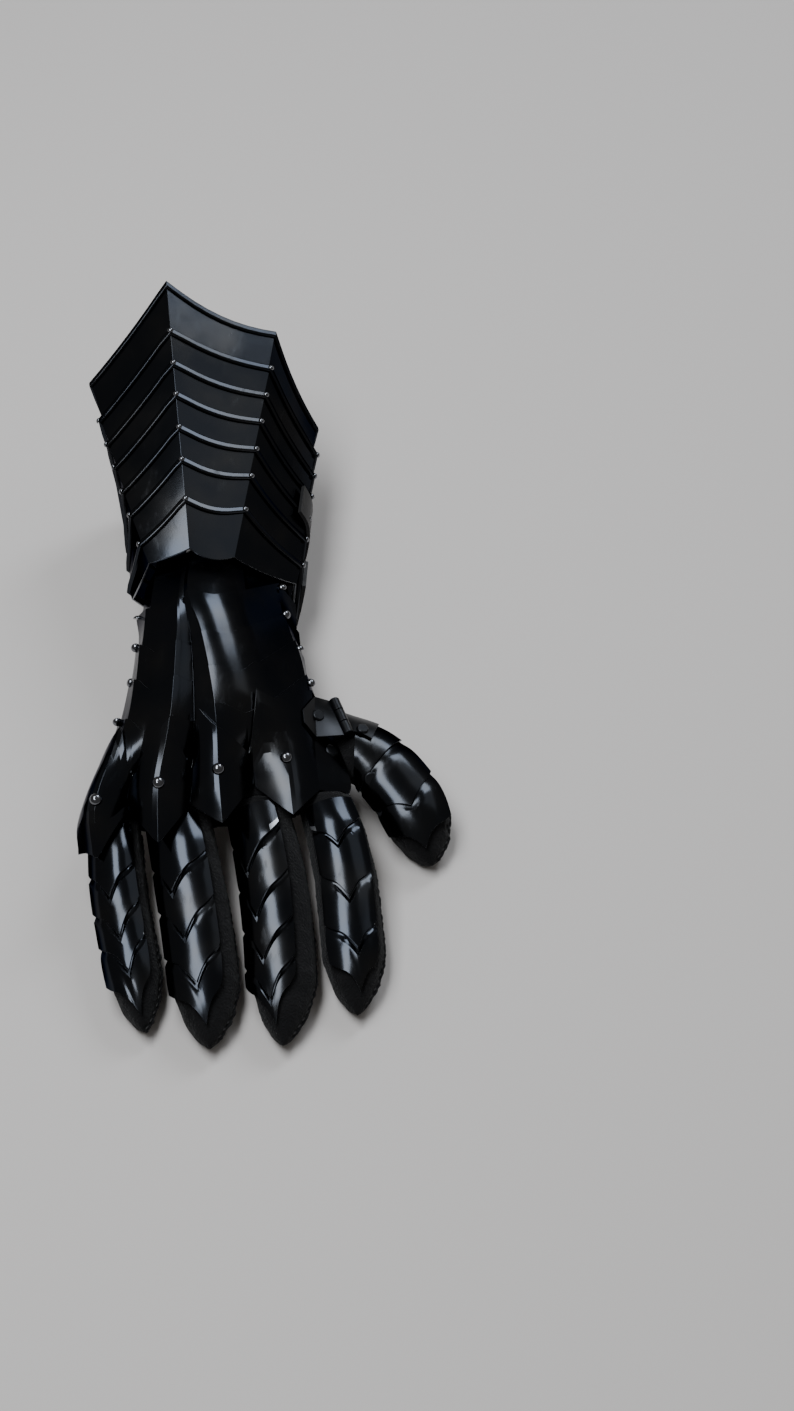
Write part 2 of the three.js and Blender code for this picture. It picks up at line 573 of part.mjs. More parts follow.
// Rivets. A head's underside follows the plate's surface, so it also sits on a fold.
const KNUCKLE_RIVET = { radius: 3.6, height: 3, sides: 8 };
const SIDE_RIVET = { radius: 2.1, height: 2, sides: 6 };
const KNUCKLE_RIVET_AT = 134; // mm along the hand
const SIDE_RIVET_IN = 2.6; // a side rivet's middle from its lame's edge

function addRivet(name, surface, u, v, face, { radius, height, sides: count }) {
  const n = surface.normal(u, v);
  const middle = surface.point(u, v);
  const perU = surface.point(u + 0.02, v).distanceTo(surface.point(u - 0.02, v)) / 0.04;
  const perV = surface.point(u, v + 0.5).distanceTo(surface.point(u, v - 0.5));
  const along = surface.point(u, v + 0.5).sub(surface.point(u, v - 0.5)).normalize();
  const across = along.clone().cross(n).normalize();
  const sides = steps(count).slice(1).map((s) => [Math.cos(s * 2 * Math.PI), Math.sin(s * 2 * Math.PI)]);
  const onSurface = (size, lift) => sides.map(([x, y]) => {
    const [a, b] = [u + (x * size) / perU, v + (y * size) / perV];
    return surface.point(a, b).addScaledVector(surface.normal(a, b), face + lift);
  });
  const dome = (size, lift) => sides.map(([x, y]) => middle.clone().addScaledVector(across, x * size)
    .addScaledVector(along, y * size).addScaledVector(n, face + lift));
  const pole = (lift) => [middle.clone().addScaledVector(n, face + lift)];
  const outer = [onSurface(radius, AIR + 0.6), dome(radius * 0.72, AIR + height * 0.72), pole(AIR + height)];
  const inner = [onSurface(radius, AIR), onSurface(radius * 0.5, AIR), pole(AIR)];
  addShell(name, outer, inner, rivetSteel, true);
}

function addRivets() {
  const knuckles = [[2, "index"], [4, "middle"], [6, "ring"], [8, "little"]];
  knuckles.forEach(([u, name]) => {
    addRivet(`knuckle_rivet_${name}`, hand, u, KNUCKLE_RIVET_AT, LIFT + KNUCKLE_LIFT, KNUCKLE_RIVET);
  });
  LAME_STARTS.forEach((start, k) => {
    addRivet(`thumb_side_rivet_${k + 1}`, hand, 1, start + SIDE_RIVET_IN, LIFT, SIDE_RIVET);
    addRivet(`little_side_rivet_${k + 1}`, hand, 8.7, start + SIDE_RIVET_IN, LIFT, SIDE_RIVET);
  });
}

addCuff();
addHandPlates();
addPalm();
addDigits();
addHinge();
addStraps();
addRivets();

const outline = new THREE.Box3().setFromObject(gauntlet);
const middleOfOutline = outline.getCenter(new THREE.Vector3());
gauntlet.position.set(-middleOfOutline.x, -middleOfOutline.y, -outline.min.z);
gauntlet.updateMatrixWorld(true);

export default gauntlet;
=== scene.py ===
# %% [markdown]
# # A black armoured gauntlet
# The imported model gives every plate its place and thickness. This lesson keeps those shapes, gives
# the steel its smooth curves, bevelled edges and polish, and makes the soft and small pieces that a
# hard solid can't show: rough suede, seams, stitches, rivets, hinge curls and worn edges.

import math
import random

import bmesh
import bpy
from mathutils import Matrix, Vector, noise
from mathutils.bvhtree import BVHTree


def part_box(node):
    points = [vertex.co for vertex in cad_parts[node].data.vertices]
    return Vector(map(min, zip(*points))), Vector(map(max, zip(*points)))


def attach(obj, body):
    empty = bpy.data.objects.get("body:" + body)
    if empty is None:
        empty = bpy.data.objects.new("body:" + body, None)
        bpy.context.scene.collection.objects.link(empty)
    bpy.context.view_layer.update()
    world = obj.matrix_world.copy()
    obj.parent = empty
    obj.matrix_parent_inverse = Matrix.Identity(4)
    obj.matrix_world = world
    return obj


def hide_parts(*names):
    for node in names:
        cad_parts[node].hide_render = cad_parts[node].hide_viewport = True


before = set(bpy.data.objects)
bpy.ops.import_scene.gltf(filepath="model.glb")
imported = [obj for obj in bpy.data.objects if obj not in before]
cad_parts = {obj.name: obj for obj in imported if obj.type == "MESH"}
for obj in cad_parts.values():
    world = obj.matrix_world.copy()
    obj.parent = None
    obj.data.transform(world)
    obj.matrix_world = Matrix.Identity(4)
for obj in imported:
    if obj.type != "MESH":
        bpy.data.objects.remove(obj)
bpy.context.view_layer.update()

# %% [markdown]
# The sizes below are millimetres in the plan of the glove, whose zero is on the floor below the
# middle knuckle's rivet. The frame's zero is elsewhere, so one known piece, the hinge pin, tells how
# far apart the two are. After that `place` turns a point of the plan into a point of the scene.

# %% From the plan to the scene
MM = 0.001
PIN_ENDS = ((59.5, 63, 44.5), (68.4, 39.2, 45))
pin_middle = (Vector(PIN_ENDS[0]) + Vector(PIN_ENDS[1])) / 2
low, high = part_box("hinge_pin")
SHIFT = (low + high) / 2 - pin_middle * MM


def place(point):
    return Vector(point) * MM + SHIFT


print("shift in mm", [round(c / MM, 2) for c in SHIFT])

# %% [markdown]
# Shader maths reads best as ordinary sums. `Expression` wraps a socket and turns Python's operators
# into Math nodes, and `Finish.node` makes any other node, so every material below is a few lines.


# %% Shader expressions
class Expression:
    def __init__(self, finish, socket):
        self.finish = finish
        self.socket = socket

    def maths(self, operation, *values):
        return self.finish.node("ShaderNodeMath", {"operation": operation}, dict(enumerate(values)))

    def __add__(self, other):
        return self.maths("ADD", self, other)

    def __mul__(self, other):
        return self.maths("MULTIPLY", self, other)

    __radd__ = __add__
    __rmul__ = __mul__


class Finish:
    def __init__(self, name, **surface):
        self.material = bpy.data.materials.new(name)
        self.material.use_nodes = True
        self.tree = self.material.node_tree
        self.surface = self.tree.nodes["Principled BSDF"]
        self.set(**surface)

    def node(self, kind, settings=None, inputs=None, output=0):
        node = self.tree.nodes.new(kind)
        for key, value in (settings or {}).items():
            if key == "stops":
                ramp = node.color_ramp.elements
                while len(ramp) < len(value):
                    ramp.new(1)
                for element, (position, grey) in zip(ramp, value):
                    element.position = position
                    element.color = (grey, grey, grey, 1)
            else:
                setattr(node, key, value)
        for key, value in (inputs or {}).items():
            self.feed(node.inputs[key], value)
        return Expression(self, node.outputs[output])

    def feed(self, socket, value):
        if isinstance(value, Expression):
            self.tree.links.new(value.socket, socket)
        else:
            socket.default_value = value

    def set(self, **surface):
        for key, value in surface.items():
            name = "Specular IOR Level" if key == "specular" else key.replace("_", " ").title()
            self.feed(self.surface.inputs[name], value)

    def position(self):
        return self.node("ShaderNodeTexCoord", output=3)

    def speckle(self, scale, detail, stretch=(1, 1, 1)):
        vector = self.node("ShaderNodeMapping", inputs={0: self.position(), 3: stretch})
        return self.node("ShaderNodeTexNoise", inputs={"Vector": vector, "Scale": scale, "Detail": detail})

    def ramp(self, value, stops):
        return self.node("ShaderNodeValToRGB", {"stops": stops}, {0: value})

    def between(self, amount, first, second):
        mix = self.tree.nodes.new("ShaderNodeMix")
        mix.data_type = "RGBA"
        self.feed(mix.inputs[0], amount)
        mix.inputs[6].default_value = (*first, 1)
        mix.inputs[7].default_value = (*second, 1)
        return Expression(self, mix.outputs[2])

    def relief(self, height, distance, strength):
        inputs = {"Height": height, "Distance": distance, "Strength": strength}
        self.set(normal=self.node("ShaderNodeBump", inputs=inputs))


# %% [markdown]
# The plates are black mirrors: they look black where they face something dark and show a clear
# pale strip where they face the light. A dark metal does that, with a little haze and faint rubbing
# so that the strips break up as they do on hand-polished steel.


# %% Steel finishes
def black_steel():
    steel = Finish("black steel", metallic=1.0, specular_tint=(0.25, 0.25, 0.27, 1))
    cloud = steel.speckle(28, 5)
    rub = steel.ramp(steel.speckle(220, 3, (1, 0.25, 1)), [(0.58, 0), (0.74, 1)])
    haze = steel.ramp(cloud, [(0.42, 0), (0.7, 1)])
    steel.set(base_color=steel.between(haze, (0.027, 0.03, 0.036), (0.038, 0.038, 0.039)))
    steel.set(roughness=0.15 + haze * 0.08 + rub * haze * 0.2)
    steel.relief(cloud * 0.8 + rub * 0.05, 0.0004, 0.35)
    return steel.material


def plain_steel(name, grey, roughness, wear=0.05):
    steel = Finish(name, metallic=1.0)
    cloud = steel.speckle(160, 3)
    steel.set(base_color=steel.between(cloud, [c * 0.7 for c in grey], grey))
    steel.set(roughness=roughness + cloud * wear)
    return steel.material


BLACK_STEEL = black_steel()
BARE_EDGE = plain_steel("bare steel edge", (0.42, 0.43, 0.45), 0.25, 0.15)
RIVET_STEEL = plain_steel("polished rivet", (0.2, 0.205, 0.22), 0.1)
HINGE_STEEL = plain_steel("hinge steel", (0.03, 0.031, 0.034), 0.26, 0.15)
BUCKLE_STEEL = plain_steel("buckle steel", (0.55, 0.56, 0.58), 0.2, 0.1)

# %% [markdown]
# The glove is black suede, rough enough to swallow the light, with a nap that catches a little of
# it. The straps are smoother black leather with a fine grain.


# %% Leather finishes
def suede():
    leather = Finish("black suede", roughness=0.95, specular=0.12, sheen_weight=0.08, sheen_roughness=0.4)
    nap = leather.speckle(900, 6)
    patch = leather.speckle(70, 4)
    leather.set(base_color=leather.between(patch, (0.004, 0.004, 0.0045), (0.014, 0.0135, 0.014)))
    leather.relief(nap * 0.7 + patch * 0.5, 0.0018, 1.0)
    return leather.material


def strap_leather():
    leather = Finish("strap leather", specular=0.4)
    grain = leather.speckle(650, 5)
    patch = leather.speckle(45, 3)
    leather.set(base_color=leather.between(patch, (0.008, 0.008, 0.008), (0.02, 0.019, 0.019)))
    leather.set(roughness=0.45 + patch * 0.2)
    leather.relief(grain, 0.0005, 0.5)
    return leather.material


SUEDE = suede()
STRAP_LEATHER = strap_leather()
THREAD = Finish("waxed thread", base_color=(0.016, 0.015, 0.015, 1), roughness=0.7).material

# %% [markdown]
# A plate of the frame is a coarse closed sheet. Its copy gets its triangles joined to squares and
# its folds and rims creased, and Subdivision Surface then rounds everything between them. A thin
# bevel gives each rim and fold the fine bright line of worn metal. The faces of the rim itself are
# found by their width, which is the plate's thickness, and stay bare steel.

# %% Forge a plate from its node
PLATE_THICKNESS = 1.0 * MM
RIM_WIDTHS = (0.8, 1.2)
RIM_ANGLE = math.radians(55)
WELD = 0.002 * MM
FLAT_ANGLE = math.radians(28)
FOLD_ANGLE = math.radians(20)
BEVEL_WIDTH = 0.22 * MM
BEVEL_ANGLE = math.radians(25)


def add_object(name, mesh, *materials, slot=None, replaced=()):
    piece = bpy.data.objects.new(name, mesh)
    bpy.context.scene.collection.objects.link(piece)
    for material in materials:
        mesh.materials.append(material)
    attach(piece, "root")
    if replaced:
        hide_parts(*replaced)
    return piece


def finished_mesh(name, shape):
    mesh = bpy.data.meshes.new(name)
    shape.to_mesh(mesh)
    shape.free()
    return mesh


def bevel_edges(piece, name, width, segments, angle):
    bevel = piece.modifiers.new(name, "BEVEL")
    bevel.width = width
    bevel.segments = segments
    bevel.limit_method = "ANGLE"
    bevel.angle_limit = angle
    bevel.harden_normals = True


def is_rim(face):
    width = face.calc_area() / max(edge.calc_length() for edge in face.edges)
    sharp = sum(edge.calc_face_angle(0) > RIM_ANGLE for edge in face.edges)
    return RIM_WIDTHS[0] < width / PLATE_THICKNESS < RIM_WIDTHS[1] and sharp >= 2


def forge(node, slot, materials, fold=FOLD_ANGLE, levels=2, bevel=BEVEL_WIDTH):
    shape = bmesh.new()
    shape.from_mesh(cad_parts[node].data)
    bmesh.ops.remove_doubles(shape, verts=shape.verts, dist=WELD)
    limits = {"angle_face_threshold": FLAT_ANGLE, "angle_shape_threshold": math.pi}
    bmesh.ops.join_triangles(shape, faces=shape.faces, **limits)
    crease = shape.edges.layers.float.new("crease_edge")
    for edge in shape.edges:
        folded = edge.calc_face_angle(0) > fold
        edge[crease] = 1.0 if folded else 0.0
        edge.smooth = not folded
    for face in shape.faces:
        face.smooth = True
        face.material_index = 1 if len(materials) > 1 and is_rim(face) else 0
    mesh = finished_mesh(f"forged_{node}", shape)
    piece = add_object(f"forged_{node}", mesh, *materials, slot=slot, replaced=[node])
    rounding = piece.modifiers.new("rounding", "SUBSURF")
    rounding.levels = levels
    rounding.render_levels = levels
    bevel_edges(piece, "worn edges", bevel, 2, BEVEL_ANGLE)


print("plates are", round(PLATE_THICKNESS / MM, 1), "mm thick")


# %% [markdown]
# The finger scales, the thumb's plate and the hinge's leaves go through this forge. The scales get
# a wide limit for what counts as a fold, because the small step where one dives under the next is a
# smooth bend.

# %% Forge the scales
STEP_ANGLE = math.radians(34)
nodes = sorted(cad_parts)
scales = [n for n in nodes if "_scale_" in n or n == "thumb_plate"]
for node in scales:
    forge(node, "black_steel", [BLACK_STEEL, BARE_EDGE], fold=STEP_ANGLE)
for node in ("hinge_leaf_hand", "hinge_leaf_thumb"):
    forge(node, "hinge_steel", [HINGE_STEEL])
print("scales", len(scales))

# %% [markdown]
# New pieces need to know where a surface really is. A search tree of a node's faces answers two
# questions: where does a ray hit it, and which point of it is nearest.


# %% Find the surface of a node
def surface_of(*names):
    vertices = []
    faces = []
    for name in names:
        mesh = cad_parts[name].data
        first = len(vertices)
        vertices += [v.co.copy() for v in mesh.vertices]
        faces += [[first + i for i in polygon.vertices] for polygon in mesh.polygons]
    return BVHTree.FromPolygons(vertices, faces)


# %% [markdown]
# The cuff is a fan of flat facets between eight straight folds, each from the rim to the waist. Its
# seven bands overlap like roof tiles. `cuff_point` finds a place on the fan: u counts the folds and
# v runs from the rim, 0, to a fold's last rivet, 1. `band_edge` says where a band starts, which dips a
# little between two folds, and `band_end` how far it reaches under the next one. In the table, slip
# moves the edges along a fold, dip scales that hollow curve, and end is where the last band stops.

# %% The fan of the cuff
CUFF_FOLDS = (
    {"rim": (-38, 250, 7), "waist": (-24, 139, 16), "slip": 0, "dip": 0.3, "end": 1.09},
    {"rim": (-70, 252, 28), "waist": (-57, 140, 45), "slip": 0, "dip": 0.3, "end": 1.09},
    {"rim": (-88.7, 259.9, 89.4), "waist": (-49.5, 144.5, 77.4), "slip": 0, "dip": 0.3, "end": 1.12},
    {"rim": (-46.2, 305.2, 128.9), "waist": (-26.8, 167, 90.5), "slip": -0.005, "dip": 1, "end": 1.215},
    {"rim": (17.4, 295.8, 101.2), "waist": (4.7, 166.7, 79.2), "slip": -0.035, "dip": 0.8, "end": 1.215},
    {"rim": (43, 266.6, 53.3), "waist": (36.3, 157.2, 44), "slip": -0.05, "dip": 0.6, "end": 1.08},
    {"rim": (30, 257, 4), "waist": (33, 146, 15), "slip": 0, "dip": 0.3, "end": 1.09},
    {"rim": (-22, 252, 4), "waist": (-10, 140, 13), "slip": 0, "dip": 0, "end": 1.09},
)
FOLD_LENGTH = 130
RIVET_PLACES = (0.235, 0.385, 0.53, 0.68, 0.825, 1.0)
RIM_DIP = 0.05
BAND_DIP = 0.03
BAND_LIFT = 1.5
LAP = 5
ACROSS_STEP = 0.02
ALONG_STEP = 0.01


def fold_pair(u):
    first = min(int(u), len(CUFF_FOLDS) - 2)
    return CUFF_FOLDS[first], CUFF_FOLDS[first + 1], u - first


def cuff_point(u, v):
    first, second, part = fold_pair(u)
    ends = [Vector(fold["rim"]).lerp(Vector(fold["waist"]), v) for fold in (first, second)]
    return ends[0].lerp(ends[1], part)


def cuff_normal(u, v):
    across = cuff_point(u + ACROSS_STEP, v) - cuff_point(max(u - ACROSS_STEP, 0), v)
    along = cuff_point(u, v + ALONG_STEP) - cuff_point(u, v - ALONG_STEP)
    return along.cross(across).normalized()


def between_folds(u, key):
    first, second, part = fold_pair(u)
    return first[key] + (second[key] - first[key]) * part


def edge_dip(u):
    first, _, part = fold_pair(u)
    return 4 * part * (1 - part) * first["dip"]


def band_edge(edge, u):
    if edge == 0:
        return RIM_DIP * edge_dip(u)
    return RIVET_PLACES[edge - 1] + between_folds(u, "slip") + BAND_DIP * edge_dip(u)


def band_end(edge, u):
    if edge < len(RIVET_PLACES):
        return band_edge(edge + 1, u) + LAP / FOLD_LENGTH
    return between_folds(u, "end") + BAND_DIP * edge_dip(u)


print("folds of the cuff", len(CUFF_FOLDS))

# %% [markdown]
# A band of the cuff and a plate of the hand are hammered from one flat sheet each, so they are made
# the same way: a net of points on the outside, the same net one thickness further in, and the rim
# between them. The forge could round the frame's own plates too, but a mirror shows every uneven
# face, and an even net keeps the strips of light clean. Folds stay sharp, and a small bevel on them
# and on the rim gives the bright line of worn metal.

# %% Sheets from a net of points
WORN_WIDTH = 0.2 * MM
SHARP_FOLD = math.radians(9)


def sheet(name, columns, replaced):
    shape = bmesh.new()
    thick = PLATE_THICKNESS / MM
    outer = [[shape.verts.new(place(p)) for p, n in column] for column in columns]
    inner = [[shape.verts.new(place(p - n * thick)) for p, n in column] for column in columns]
    last = len(columns) - 1
    rows = len(columns[0]) - 1
    for c in range(last):
        for r in range(rows):
            shape.faces.new((outer[c][r], outer[c][r + 1], outer[c + 1][r + 1], outer[c + 1][r]))
            shape.faces.new((inner[c][r], inner[c + 1][r], inner[c + 1][r + 1], inner[c][r + 1]))
        for r in (0, rows):
            edge = shape.faces.new((outer[c][r], outer[c + 1][r], inner[c + 1][r], inner[c][r]))
            edge.material_index = 1
    for c in (0, last):
        for r in range(rows):
            shape.faces.new((outer[c][r], inner[c][r], inner[c][r + 1], outer[c][r + 1]))
    bmesh.ops.recalc_face_normals(shape, faces=shape.faces)
    for line in shape.edges:
        line.smooth = line.calc_face_angle(0) < SHARP_FOLD
    for face in shape.faces:
        face.smooth = True
    mesh = finished_mesh(name, shape)
    piece = add_object(name, mesh, BLACK_STEEL, BARE_EDGE, slot="black_steel", replaced=replaced)
    bevel_edges(piece, "worn edges", WORN_WIDTH, 2, SHARP_FOLD)


print("folds sharper than", round(math.degrees(SHARP_FOLD)), "degrees stay sharp")

# %% [markdown]
# Seven bands make the cuff, and each replaces one lame of the frame. A band starts raised above the
# one before it and sinks evenly to the fan's own surface, so that the next can lie on its end.

# %% Bands of the cuff
BAND_COLUMNS = 8
BAND_ROWS = 6


def cuff_band(edge):
    lift = BAND_LIFT if edge else 0
    columns = []
    for c in range(BAND_COLUMNS * (len(CUFF_FOLDS) - 1) + 1):
        u = c / BAND_COLUMNS
        start = band_edge(edge, u)
        end = band_end(edge, u)
        column = []
        for r in range(BAND_ROWS + 1):
            part = r / BAND_ROWS
            v = start + (end - start) * part
            normal = cuff_normal(u, v)
            column.append((cuff_point(u, v) + normal * lift * (1 - part), normal))
        columns.append(column)
    sheet(f"cuff_band_{edge + 1}", columns, [f"cuff_lame_{edge + 1}"])


for edge in range(len(RIVET_PLACES) + 1):
    cuff_band(edge)
print("cuff bands", len(RIVET_PLACES) + 1)

# %% [markdown]
# The upper edge of every band is rolled over into a narrow strip that leans a little, so it catches
# the window when the band below it doesn't. A strip is one small profile carried along the edge.

# %% Rolled strips
STRIP_PROFILE = ((-0.45, -0.3), (-0.5, 0.8), (0, 1.15), (2.5, 1.6), (3.1, 1.45), (3.6, 0.8), (3.9, -0.6))
STRIP_COLUMNS = 8
STRIP_ROUNDING = 0.28 * MM
STRIP_ANGLE = math.radians(12)


def rolled_strip(edge):
    lift = BAND_LIFT if edge else 0
    shape = bmesh.new()
    rings = []
    for column in range(STRIP_COLUMNS * (len(CUFF_FOLDS) - 1) + 1):
        u = column / STRIP_COLUMNS
        ring = []
        for mm, height in STRIP_PROFILE:
            v = band_edge(edge, u) + mm / FOLD_LENGTH
            point = cuff_point(u, v) + cuff_normal(u, v) * (height + lift)
            ring.append(shape.verts.new(place(point)))
        rings.append(ring)
    for first, second in zip(rings, rings[1:]):
        for a in range(len(STRIP_PROFILE)):
            b = (a + 1) % len(STRIP_PROFILE)
            shape.faces.new((first[a], first[b], second[b], second[a]))
    shape.faces.new(rings[0])
    shape.faces.new(list(reversed(rings[-1])))
    bmesh.ops.recalc_face_normals(shape, faces=shape.faces)
    for line in shape.edges:
        line.smooth = line.calc_face_angle(0) < STRIP_ANGLE
    for face in shape.faces:
        face.smooth = True
    name = f"rolled_strip_{edge + 1}"
    piece = add_object(name, finished_mesh(name, shape), BLACK_STEEL, slot="black_steel")
    bevel_edges(piece, "rounded edges", STRIP_ROUNDING, 3, STRIP_ANGLE)


for edge in range(len(RIVET_PLACES) + 1):
    rolled_strip(edge)
print("rolled strips", len(RIVET_PLACES) + 1)

# %% [markdown]
# Small domed rivets hold the bands together. They sit on the strips where the four upper folds
# cross them.

# %% Rivets along the cuff's folds
RIVET_FOLDS = {2: (-1, 0.1, 0.25), 3: (-0.1, -0.1, 1), 4: (0.45, 0, 0.9), 5: (1, 0.1, 0.25)}
RIVET_RADIUS = 1.75 * MM
RIVET_HEIGHT = 1.5 * MM
STRIP_MIDDLE = 1.7
STRIP_TOP = 1.2
DOME_RINGS = 7
DOME_SIDES = 24


def dome(name, middle, out, radius, height, material, slot, flat=0.0):
    tilt = out.normalized().to_track_quat("Z", "Y")
    shape = bmesh.new()
    loops = []
    angles = [2 * math.pi * a / DOME_SIDES for a in range(DOME_SIDES)]
    for ring in range(DOME_RINGS):
        turn = ring / DOME_RINGS * math.pi / 2
        reach = radius * (flat + (1 - flat) * math.cos(turn))
        rise = height * math.sin(turn)
        loops.append([shape.verts.new((reach * math.cos(a), reach * math.sin(a), rise)) for a in angles])
    for lower, upper in zip(loops, loops[1:]):
        for a in range(DOME_SIDES):
            b = (a + 1) % DOME_SIDES
            shape.faces.new((lower[a], lower[b], upper[b], upper[a]))
    shape.faces.new(loops[-1])
    shape.faces.new(list(reversed(loops[0])))
    for face in shape.faces:
        face.smooth = len(face.verts) == 4
    shape.transform(Matrix.Translation(middle) @ tilt.to_matrix().to_4x4())
    return add_object(name, finished_mesh(name, shape), material, slot=slot)


for fold, direction in RIVET_FOLDS.items():
    out = Vector(direction).normalized()
    for edge in range(1, len(RIVET_PLACES) + 1):
        v = band_edge(edge, fold) + STRIP_MIDDLE / FOLD_LENGTH
        seat = cuff_point(fold, v) + cuff_normal(fold, v) * (BAND_LIFT + STRIP_TOP)
        name = f"cuff_rivet_{fold}_{edge}"
        dome(name, place(seat), out, RIVET_RADIUS, RIVET_HEIGHT, RIVET_STEEL, "rivet_steel")
print("cuff rivets", len(RIVET_FOLDS) * len(RIVET_PLACES))

# %% [markdown]
# The back of the hand is one fluted surface. Ten curves run along it, which are its folds and the
# valleys between them, and each passes through six stations. Steel between two curves is straight
# near the wrist and swells into round leaves at the knuckles. `hand_point` finds a place on it: u
# counts the curves from the thumb's edge and mm is measured along the hand from the wrist. A spline
# through the stations, and not straight lines between them, keeps the strips of light unbroken.

# %% The fluted back of the hand
STATION_MM = (0, 33, 60, 101, 134, 160)
HAND_CURVES = (
    ((32.5, 152, 42.7), (35, 133.1, 42), (37.5, 113.1, 41),
     (46.5, 73.9, 38), (67.9, 19.7, 34), (67.7, 8.7, 30)),
    ((22, 159, 54.1), (25, 139.5, 52.6), (29.5, 116.2, 53),
     (43.2, 73.6, 52), (50.3, 18.1, 44), (52.9, 4.7, 40)),
    ((0.8, 141, 71.5), (4.1, 110.4, 76.5), (11.3, 86.3, 75.5),
     (26.7, 43, 67), (35.7, 15.2, 53.5), (40.8, -16.4, 46)),
    ((-10.5, 139, 75.2), (-8.5, 107, 80.6), (0, 81, 79.2),
     (12.4, 38, 71.5), (17.1, 13.1, 49), (18.6, 3.9, 45)),
    ((-22.2, 138, 79), (-21, 103.6, 84.8), (-11.4, 75.6, 83.4),
     (-2, 32.5, 76), (1.2, 0.5, 61.5), (4.5, -25.8, 50.5)),
    ((-24.2, 136.5, 78.2), (-22.9, 100.4, 83), (-17.5, 74.5, 79.5),
     (-13.2, 33.9, 70.5), (-12.6, 1, 54), (-13.1, -12.2, 48.5)),
    ((-26.5, 135, 77.6), (-25.5, 97, 84), (-24.4, 69, 83),
     (-24.6, 24.4, 75), (-28.7, -9.9, 62), (-27.2, -38.8, 50)),
    ((-34.5, 133, 75.4), (-34, 97.4, 79.4), (-34, 71.6, 77.6),
     (-36.3, 27.5, 69), (-43.9, -5.1, 52), (-44.9, -14.4, 47)),
    ((-42.5, 132, 73), (-42.3, 97.6, 75), (-43.8, 74.4, 71.5),
     (-48, 30.5, 63), (-60.4, -18.2, 57), (-58.2, -42.1, 40)),
    ((-52, 134, 48.5), (-50, 111.6, 52), (-48.5, 90.7, 50),
     (-54.5, 45.6, 42), (-68.9, -11.7, 36), (-68.4, -32.2, 28)),
)
LAST_CURVE = len(HAND_CURVES) - 1
FIRST_CREST = 1
CROWNED_CURVE = 3
COLUMN_CROWN = 3
CROWN_FROM = -10
CROWN_OVER = 40
LEAF_DOME = 1.1
LEAVES_FROM = 95
LEAVES_OVER = 35
NORMAL_STEP = 0.03


def smooth_step(x):
    x = min(max(x, 0), 1)
    return x * x * (3 - 2 * x)


def along_table(table, x):
    for (x0, y0), (x1, y1) in zip(table, table[1:]):
        if x <= x1:
            return y0 + (y1 - y0) * max((x - x0) / (x1 - x0), 0)
    return table[-1][1]


def curve_point(curve, mm):
    points = [Vector(p) for p in curve]
    place_along = along_table([(m, i) for i, m in enumerate(STATION_MM)], mm)
    i = min(int(place_along), len(points) - 2)
    w = place_along - i
    before = points[i - 1] if i > 0 else 2 * points[0] - points[1]
    after = points[i + 2] if i + 2 < len(points) else 2 * points[-1] - points[-2]
    start, end = points[i], points[i + 1]
    out, into = (end - before) / 2, (after - start) / 2
    square = 3 * (end - start) - 2 * out - into
    return start + out * w + square * w * w + (2 * (start - end) + out + into) * w**3


def hand_point(u, mm):
    i = min(max(int(u), 0), LAST_CURVE - 1)
    a, b = curve_point(HAND_CURVES[i], mm), curve_point(HAND_CURVES[i + 1], mm)
    p = a.lerp(b, u - i)
    leaf = smooth_step((mm - LEAVES_FROM) / LEAVES_OVER)
    from_crest = u - i if i % 2 == 0 else 1 - (u - i)
    dome_height = math.cos(from_crest * math.pi / 2) - (1 - from_crest)
    crown = max(1 - (u - CROWNED_CURVE) ** 2, 0) * smooth_step((mm - CROWN_FROM) / CROWN_OVER)
    if i >= FIRST_CREST:
        p.z += LEAF_DOME * abs(a.z - b.z) * dome_height * leaf
    p.z += COLUMN_CROWN * crown * (1 - leaf)
    p.y += max(-mm, 0)
    return p


def hand_normal(u, mm):
    ahead = hand_point(min(u + NORMAL_STEP, LAST_CURVE), mm)
    across = ahead - hand_point(max(u - NORMAL_STEP, 0), mm)
    along = hand_point(u, mm + 1) - hand_point(u, mm - 1)
    return along.cross(across).normalized() * -1


print("curves along the hand", len(HAND_CURVES))

# %% [markdown]
# Six plates lie on the hand: one at the wrist, four lames, and the plate of the knuckles over
# them, whose edge rises to a point behind each finger. Each lame's edge stands a little above the
# plate before it, and the lame then sinks evenly until the next one covers it. The tables below
# give such heights over the fluted surface, each as a place in mm along the hand and a height.

# %% Plates of the hand
LAME_STARTS = (33, 60, 80.5, 101)
HAND_DIP = 6
DIPPED_CURVES = (2, 8)
HAND_ROWS = 10
HAND_COLUMNS = 8
WRIST_START = -4
WRIST_MIDDLE = (1.7, 8)
WRIST_SINK = {
    "middle": ((-4, -2.1), (9, -1.05), (20, 0), (38, 0)),
    "side": ((-4, -3.6), (22, -2.4), (31, -1), (38, 0)),
}
LAST_LAME_SINK = ((0, BAND_LIFT), (10, 0), (16, -1.6))
LAST_LAME_SHORTEST = 13
KNUCKLE_TOP = (
    (0, 111), (1, 107.5), (2, 101), (2.57, 97), (2.8, 110), (2.9, 118), (3.1, 126), (4, 112), (4.6, 103),
    (4.82, 114), (5.1, 129), (6, 103), (7.1, 127), (8, 105), (9, 118),
)
KNUCKLE_LIFT = ((104, 3.5), (118, 2.1))
KNUCKLE_END = 160


def lame_edge(k, u):
    dipped = DIPPED_CURVES[0] <= u <= DIPPED_CURVES[1]
    dip = math.sin(u * math.pi / 2) ** 2 if dipped else 0
    return LAME_STARTS[k] + HAND_DIP * dip


